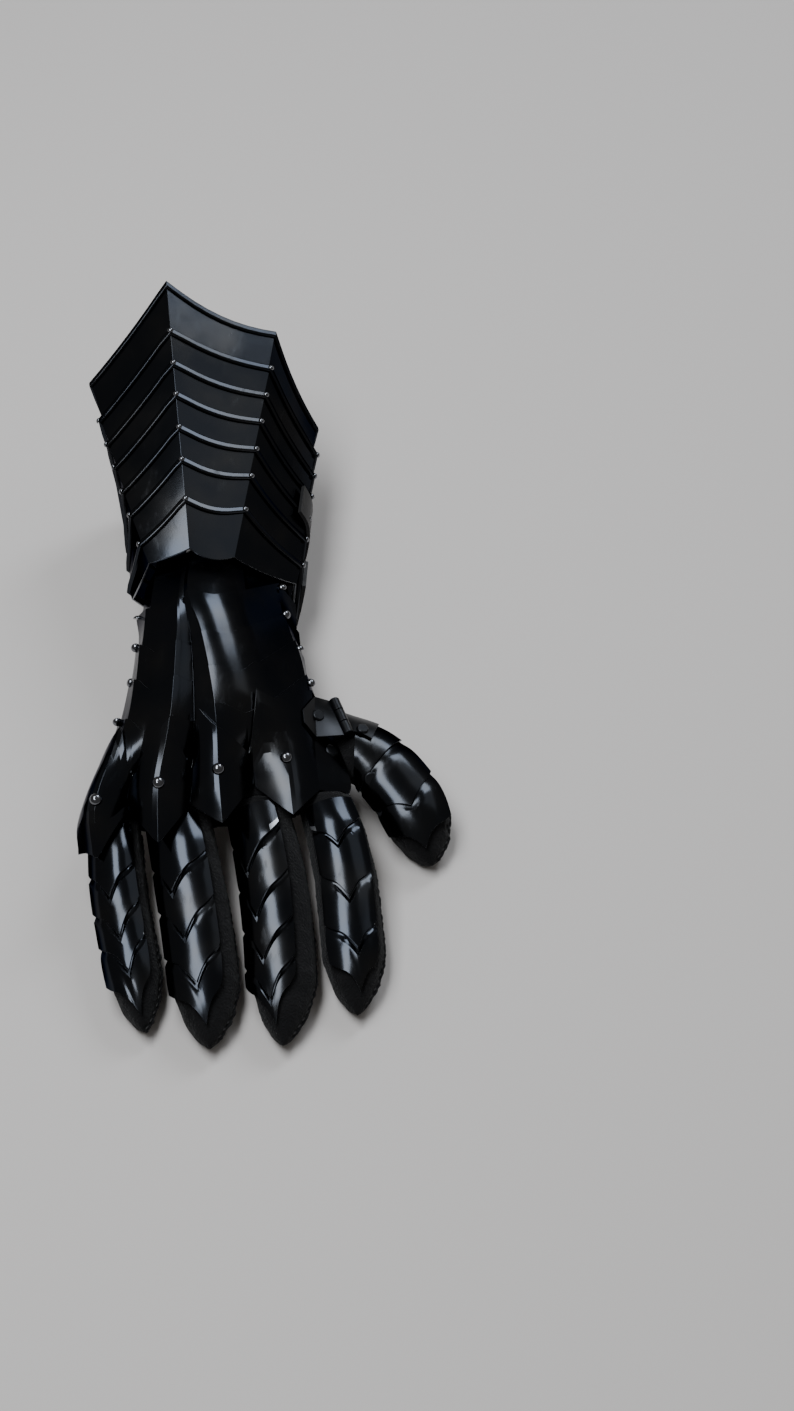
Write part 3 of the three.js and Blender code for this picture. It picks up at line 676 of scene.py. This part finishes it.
def hand_sheet(node, span, height):
    corners = {c / HAND_COLUMNS for c in range(LAST_CURVE * HAND_COLUMNS + 1)}
    if node == "knuckle_plate":
        corners |= {u for u, mm in KNUCKLE_TOP}
    columns = []
    for u in sorted(corners):
        start, end = span(u)
        column = []
        for r in range(HAND_ROWS + 1):
            mm = start + (end - start) * r / HAND_ROWS
            normal = hand_normal(u, mm)
            column.append((hand_point(u, mm) + normal * height(u, mm, r / HAND_ROWS), normal))
        columns.append(column)
    sheet(f"steel_{node}", columns, [node])


def wrist_span(u):
    return WRIST_START, lame_edge(0, u) + LAP


def wrist_height(u, mm, part):
    middle = WRIST_MIDDLE[0] < u < WRIST_MIDDLE[1]
    return along_table(WRIST_SINK["middle" if middle else "side"], mm)


def lame_span(k):
    def span(u):
        start = lame_edge(k, u)
        if k < len(LAME_STARTS) - 1:
            return start, lame_edge(k + 1, u) + LAP
        return start, max(along_table(KNUCKLE_TOP, u), start + LAST_LAME_SHORTEST) + LAP

    return span


def lame_height(k):
    def height(u, mm, part):
        if k < len(LAME_STARTS) - 1:
            return BAND_LIFT * (1 - part)
        return along_table(LAST_LAME_SINK, mm - lame_edge(k, u))

    return height


def knuckle_span(u):
    return along_table(KNUCKLE_TOP, u), KNUCKLE_END


def knuckle_height(u, mm, part):
    return along_table(KNUCKLE_LIFT, mm)


hand_sheet("wrist_plate", wrist_span, wrist_height)
for k in range(len(LAME_STARTS)):
    hand_sheet(f"hand_lame_{k + 1}", lame_span(k), lame_height(k))
hand_sheet("knuckle_plate", knuckle_span, knuckle_height)
print("plates of the hand", 2 + len(LAME_STARTS))

# %% [markdown]
# The frame's rivets on the hand have heads of a few flat sides. Each gets a true dome in its place.
# A head's axis runs between its two poles, the points where the most edges meet.

# %% Domes for the frame's rivets
SIDE_HEAD = {"radius": 2.6 * MM, "height": 2.1 * MM}
HEADS = {
    "knuckle": {"radius": 3.3 * MM, "height": 2.6 * MM},
    "thumb_side": SIDE_HEAD,
    "little_side": SIDE_HEAD,
}
HEAD_SUNK = 0.8 * MM


def poles(node):
    shape = bmesh.new()
    shape.from_mesh(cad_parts[node].data)
    bmesh.ops.remove_doubles(shape, verts=shape.verts, dist=WELD)
    most = sorted(shape.verts, key=lambda v: len(v.link_edges))[-2:]
    points = sorted((v.co.copy() for v in most), key=lambda p: p.z)
    shape.free()
    return points


hand_rivets = [n for n in nodes if "_rivet_" in n]
for node in hand_rivets:
    bottom, top = poles(node)
    head = next(sizes for kind, sizes in HEADS.items() if node.startswith(kind))
    out = (top - bottom).normalized()
    seat = bottom - out * HEAD_SUNK
    piece = dome(f"head_{node}", seat, out, head["radius"], head["height"], RIVET_STEEL, "rivet_steel")
    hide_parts(node)
print("heads", len(hand_rivets))

# %% [markdown]
# The thumb's hinge turns on a pin. Each leaf wraps round the pin in short curls that mesh like the
# teeth of two combs, and flat-headed rivets hold the leaves.

# %% Hinge curls and rivets
CURL_COUNT = 3
CURL_RADIUS = 3.0 * MM
CURL_GAP = 0.05
CURL_SIDES = 24
CURL_ROUNDING = 0.3 * MM
CURL_ANGLE = math.radians(30)


def barrel(name, start, end, radius, material, slot):
    along = end - start
    shape = bmesh.new()
    size = {"radius1": radius, "radius2": radius, "depth": along.length}
    bmesh.ops.create_cone(shape, cap_ends=True, segments=CURL_SIDES, **size)
    turn = along.to_track_quat("Z", "Y").to_matrix().to_4x4()
    shape.transform(Matrix.Translation((start + end) / 2) @ turn)
    for face in shape.faces:
        face.smooth = len(face.verts) == 4
    piece = add_object(name, finished_mesh(name, shape), material, slot=slot)
    bevel_edges(piece, "rounded ends", CURL_ROUNDING, 2, CURL_ANGLE)


pin_start, pin_end = [place(p) for p in PIN_ENDS]
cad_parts["hinge_pin"].data.materials[0] = HINGE_STEEL
for curl in range(CURL_COUNT):
    first = pin_start.lerp(pin_end, (curl + CURL_GAP / 2) / CURL_COUNT)
    last = pin_start.lerp(pin_end, (curl + 1 - CURL_GAP / 2) / CURL_COUNT)
    barrel(f"hinge_curl_{curl + 1}", first, last, CURL_RADIUS, HINGE_STEEL, "hinge_steel")
print("hinge curls", CURL_COUNT)

# %% [markdown]
# The heads of the hinge's rivets are flat and wide. A listed place is never exactly on the
# steel, so each head is dropped along its own axis until it meets the plate.

# %% Flat rivets
DROP = 15 * MM
FLAT_RIVET_HEIGHT = 1.2 * MM
FLAT_SHARE = 0.72


def set_down(names, point, out):
    hit = surface_of(*names).ray_cast(point + out * DROP, -out)
    return (hit[0], hit[1]) if hit[0] else (point, out)


HINGE_RIVETS = {
    "leaf_hand": {
        "at": (51.9, 47.5, 50.7), "out": (0.5, -0.1, 0.8), "radius": 3.4,
        "on": ["hinge_leaf_hand", "knuckle_plate"],
    },
    "leaf_thumb": {
        "at": (75.5, 43.2, 45), "out": (0.1, 0, 1), "radius": 3.4,
        "on": ["hinge_leaf_thumb", "thumb_plate"],
    },
    "hand_side": {
        "at": (59, 31.6, 40), "out": (0.6, -0.1, 0.7), "radius": 4.2,
        "on": ["knuckle_plate"],
    },
    "thumb_side": {
        "at": (81, 18, 34), "out": (0, -0.6, 0.7), "radius": 4.2,
        "on": ["thumb_plate"],
    },
}
for name, row in HINGE_RIVETS.items():
    out = Vector(row["out"]).normalized()
    seat, normal = set_down(row["on"], place(row["at"]), out)
    size = (row["radius"] * MM, FLAT_RIVET_HEIGHT)
    dome(f"flat_rivet_{name}", seat, normal, *size, HINGE_STEEL, "hinge_steel", flat=FLAT_SHARE)
print("flat rivets", len(HINGE_RIVETS))

# %% [markdown]
# Suede is never smooth. Voxel Remesh turns a coarse finger or palm into a fine skin, noise then
# pushes its points in and out by a fraction of a millimetre, and the bump in the material does the
# finest nap. Broad slow noise makes the leather's soft dents.

# %% Leather skin
SKIN_VOXEL = 1.3 * MM
NAP_GRAIN = 2.6 * MM
DENT_GRAIN = 16 * MM
FINGER_NAP = 0.7 * MM
PALM_NAP = 0.5 * MM
DENT_DEPTH = 0.8 * MM


def leather_skin(node, rough, dents):
    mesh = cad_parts[node].data.copy()
    piece = add_object(f"suede_{node}", mesh, slot="glove_leather", replaced=[node])
    mesh.materials.clear()
    mesh.materials.append(SUEDE)
    remesh = piece.modifiers.new("skin", "REMESH")
    remesh.voxel_size = SKIN_VOXEL
    remesh.use_smooth_shade = True
    smooth = piece.modifiers.new("soften", "SMOOTH")
    smooth.iterations = 3
    fine = bpy.data.textures.new(f"nap_{node}", "CLOUDS")
    fine.noise_scale = NAP_GRAIN
    broad = bpy.data.textures.new(f"dents_{node}", "CLOUDS")
    broad.noise_scale = DENT_GRAIN
    for texture, size in ((fine, rough), (broad, dents)):
        push = piece.modifiers.new("push", "DISPLACE")
        push.texture = texture
        push.strength = size
        push.mid_level = 0.5
        push.texture_coords = "GLOBAL"


stalls = [n for n in nodes if n.endswith("_stall")]
for node in stalls:
    leather_skin(node, FINGER_NAP, DENT_DEPTH)
leather_skin("glove_palm", PALM_NAP, DENT_DEPTH)
print("leather pieces", len(stalls) + 1)

# %% [markdown]
# Each finger of the glove is sewn together along the thumb's side. The two edges stand up as a
# rough welt, and a row of stitches goes in and out beside it. The line of the seam is found by
# looking at the finger from the side, slice by slice from the knuckle to the tip.

# %% Seams of the fingers
WELT_RADIUS = 1.3 * MM
STITCH_STEP = 4.2 * MM
SEAM_SLICES = 26
SEAM_START = 0.05
SEAM_REACH = 0.945
SEAM_HIGH = 0.62
SEAM_LOW = 8.5 * MM
SEAM_SIDE = Vector((1, 0, 0))
LOOK_FROM = 120 * MM
seam_random = random.Random(7)


def seam_line(node):
    low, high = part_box(node)
    surface = surface_of(node)
    points = []
    for i in range(SEAM_SLICES + 1):
        part = i / SEAM_SLICES
        y = high.y + (low.y - high.y) * (SEAM_START + SEAM_REACH * part)
        z = high.z * SEAM_HIGH * (1 - part) + SEAM_LOW * part
        start = Vector(((low.x + high.x) / 2, y, z)) + SEAM_SIDE * LOOK_FROM
        hit = surface.ray_cast(start, -SEAM_SIDE)[0]
        if hit:
            points.append(hit)
    return points


def tube(name, points, radii, material, sides):
    shape = bmesh.new()
    rings = []
    for i, point in enumerate(points):
        ahead = points[min(i + 1, len(points) - 1)] - points[max(i - 1, 0)]
        turn = ahead.to_track_quat("Z", "Y")
        ring = []
        for s in range(sides):
            angle = 2 * math.pi * s / sides
            spoke = turn @ Vector((math.cos(angle), math.sin(angle), 0))
            ring.append(shape.verts.new(point + spoke * radii[i]))
        rings.append(ring)
    for first, second in zip(rings, rings[1:]):
        for s in range(sides):
            t = (s + 1) % sides
            shape.faces.new((first[s], first[t], second[t], second[s]))
    shape.faces.new(list(reversed(rings[0])))
    shape.faces.new(rings[-1])
    for face in shape.faces:
        face.smooth = True
    add_object(name, finished_mesh(name, shape), material, slot="glove_leather")


def resampled(points, step):
    lengths = [0.0]
    for a, b in zip(points, points[1:]):
        lengths.append(lengths[-1] + (b - a).length)
    count = max(int(lengths[-1] / step), 2)
    result = []
    segment = 0
    for i in range(count + 1):
        want = lengths[-1] * i / count
        while segment < len(points) - 2 and lengths[segment + 1] < want:
            segment += 1
        part = (want - lengths[segment]) / max(lengths[segment + 1] - lengths[segment], 1e-9)
        result.append(points[segment].lerp(points[segment + 1], part))
    return result


print("seam slices", SEAM_SLICES)

# %% [markdown]
# The welt is a tube whose middle wanders and whose thickness changes with noise, because a cut edge
# of suede frays. Stitches are short spindles of thread, each leaning by a different amount. Python's
# vector noise in Blender starts from the clock, so a fixed seed makes every run give the same welt.

# %% Welts and stitches
WELT_STEP = 1.1 * MM
WELT_WOBBLE = 0.5 * MM
WOBBLE_GRAIN = 3.5 * MM
FRAY_GRAIN = 1.9 * MM
FRAY_MIDDLE = 0.9
FRAY_RANGE = 0.5
WELT_END = 0.4
WELT_SIDES = 8
STITCH_BESIDE = 1.6 * MM
STITCH_LENGTH = 0.28
STITCH_LEAN = (0.3, 0.8)
STITCH_RADII = [0.3 * MM, 0.45 * MM, 0.3 * MM]
STITCH_SIDES = 6
NOISE_SEED = 7
noise.seed_set(NOISE_SEED)


def sew_welt(node, line):
    wobble = [p + noise.noise_vector(p / WOBBLE_GRAIN) * WELT_WOBBLE for p in line]
    radii = [WELT_RADIUS * (FRAY_MIDDLE + FRAY_RANGE * noise.noise(p / FRAY_GRAIN)) for p in line]
    radii[-1] *= WELT_END
    tube(f"welt_{node}", wobble, radii, SUEDE, WELT_SIDES)


def sew_stitches(node, line):
    stitches = resampled(line, STITCH_STEP)
    across = Vector((0, 0, 1))
    for i, (a, b) in enumerate(zip(stitches, stitches[1:])):
        middle = a.lerp(b, 0.5) + across * STITCH_BESIDE
        lean = (b - a) * STITCH_LENGTH + across * seam_random.uniform(*STITCH_LEAN) * MM
        ends = [middle - lean, middle, middle + lean]
        tube(f"stitch_{node}_{i}", ends, STITCH_RADII, THREAD, STITCH_SIDES)


for node in stalls:
    line = resampled(seam_line(node), WELT_STEP)
    sew_welt(node, line)
    sew_stitches(node, line)
print("seams", len(stalls))

# %% [markdown]
# The straps are plain leather bands, and Subdivision Surface with a wide bevel rounds their cut
# edges. The buckles are bent wire, so they keep their shape and only lose their sharp edges.

# %% Straps and buckles
STRAP_FOLD = math.radians(50)
STRAP_ROUNDING = 0.5 * MM
BUCKLE_FOLD = math.radians(30)
BUCKLE_ROUNDING = 0.6 * MM
straps = [n for n in nodes if n.endswith("_strap")]
buckles = [n for n in nodes if n.endswith("_buckle")]
for node in straps:
    forge(node, "strap_leather", [STRAP_LEATHER], fold=STRAP_FOLD, bevel=STRAP_ROUNDING)
for node in buckles:
    forge(node, "buckle_steel", [BUCKLE_STEEL], fold=BUCKLE_FOLD, levels=0, bevel=BUCKLE_ROUNDING)
print("straps", len(straps), "buckles", len(buckles))

# %% [markdown]
# The floor is one plain, pale and dull sheet, wide enough to fill the picture.

# %% Floor
FLOOR_SIZE = 6.0
FLOOR_COLOUR = (0.66, 0.62, 0.59, 1)
FLOOR_ROUGHNESS = 0.85
floor_mesh = bpy.data.meshes.new("floor")
half = FLOOR_SIZE / 2
corners = [(-half, -half, 0), (half, -half, 0), (half, half, 0), (-half, half, 0)]
floor_mesh.from_pydata(corners, [], [(0, 1, 2, 3)])
floor = bpy.data.objects.new("floor", floor_mesh)
bpy.context.scene.collection.objects.link(floor)
pale_floor = Finish("pale floor", base_color=FLOOR_COLOUR, roughness=FLOOR_ROUGHNESS)
floor_mesh.materials.append(pale_floor.material)
print("floor in metres", FLOOR_SIZE)

# %% [markdown]
# Polished black steel shows only what is round it, so each light is placed for what mirrors it. The
# ceiling lamp, long and narrow, makes the pale strips along the fingers and the hand. The window
# beyond the cuff is what its rolled strips catch. The weak wall light lifts the cuff's top facet
# from black to a dark grey. A light's direction is seen from its target, and power is in watts.


# %% Lights
def soft_light(name, target, direction, distance, size, power, colour, long_side):
    data = bpy.data.lights.new(name, "AREA")
    data.shape = "RECTANGLE"
    data.size, data.size_y = size
    data.energy = power
    data.color = colour
    light = bpy.data.objects.new(name, data)
    bpy.context.scene.collection.objects.link(light)
    aim = Vector(direction).normalized()
    across = aim.cross(Vector(long_side)).normalized()
    axes = Matrix([across.cross(aim), across, aim]).transposed().to_4x4()
    light.matrix_world = Matrix.Translation(place(target) + aim * distance) @ axes


HAND_MIDDLE = (0, 0, 50)
CUFF_MIDDLE = (0, 170, 90)
COOL = (0.9, 0.95, 1.0)
LIGHTS = {
    "ceiling": {
        "target": HAND_MIDDLE, "direction": (-0.27, 0.0, 0.96), "distance": 1.6,
        "size": (0.55, 1.4), "power": 25, "colour": COOL, "long_side": (1, 0, 0.33),
    },
    "window": {
        "target": CUFF_MIDDLE, "direction": (0.36, 0.61, 0.69), "distance": 2.4,
        "size": (1.1, 0.62), "power": 20, "colour": (0.85, 0.92, 1.0), "long_side": (0.77, 0.39, -0.64),
    },
    "wall": {
        "target": CUFF_MIDDLE, "direction": (0.55, 0.36, 0.75), "distance": 2.4,
        "size": (1.3, 1.1), "power": 2.6, "colour": COOL, "long_side": (0, 1, 0),
    },
}
for name, row in LIGHTS.items():
    soft_light(name, **row)

ROOM_COLOUR = (1.0, 0.98, 0.96, 1)
ROOM_STRENGTH = 0.16
world = bpy.data.worlds.new("room")
bpy.context.scene.world = world
world.use_nodes = True
background = world.node_tree.nodes["Background"]
background.inputs["Color"].default_value = ROOM_COLOUR
background.inputs["Strength"].default_value = ROOM_STRENGTH
print("lights", ", ".join(LIGHTS))

# %% [markdown]
# The camera stands where the photographer stood: above the fingertips, looking down at the back of
# the hand, about a metre away. Its three directions are written as the rows of a rotation.

# %% Camera
CAMERA_AT = (72.21, -665.25, 937.6)
CAMERA_RIGHT = (0.9994, 0.01078, 0.03302)
CAMERA_DOWN = (0.02919, -0.776, -0.63005)
CAMERA_AHEAD = (0.01883, 0.63064, -0.77585)
LENS = 54.1
SENSOR = 36.0
camera_data = bpy.data.cameras.new("camera")
camera_data.lens = LENS
camera_data.sensor_fit = "VERTICAL"
camera_data.sensor_height = SENSOR
camera = bpy.data.objects.new("camera", camera_data)
bpy.context.scene.collection.objects.link(camera)
axes = [Vector(CAMERA_RIGHT), -Vector(CAMERA_DOWN), -Vector(CAMERA_AHEAD)]
turn = Matrix(axes).transposed().to_4x4()
camera.matrix_world = Matrix.Translation(place(CAMERA_AT)) @ turn
bpy.context.scene.camera = camera
print("lens in mm", LENS)

# %% [markdown]
# Last, the scene's view layer is brought up to date.

# %% Update the scene
bpy.context.view_layer.update()
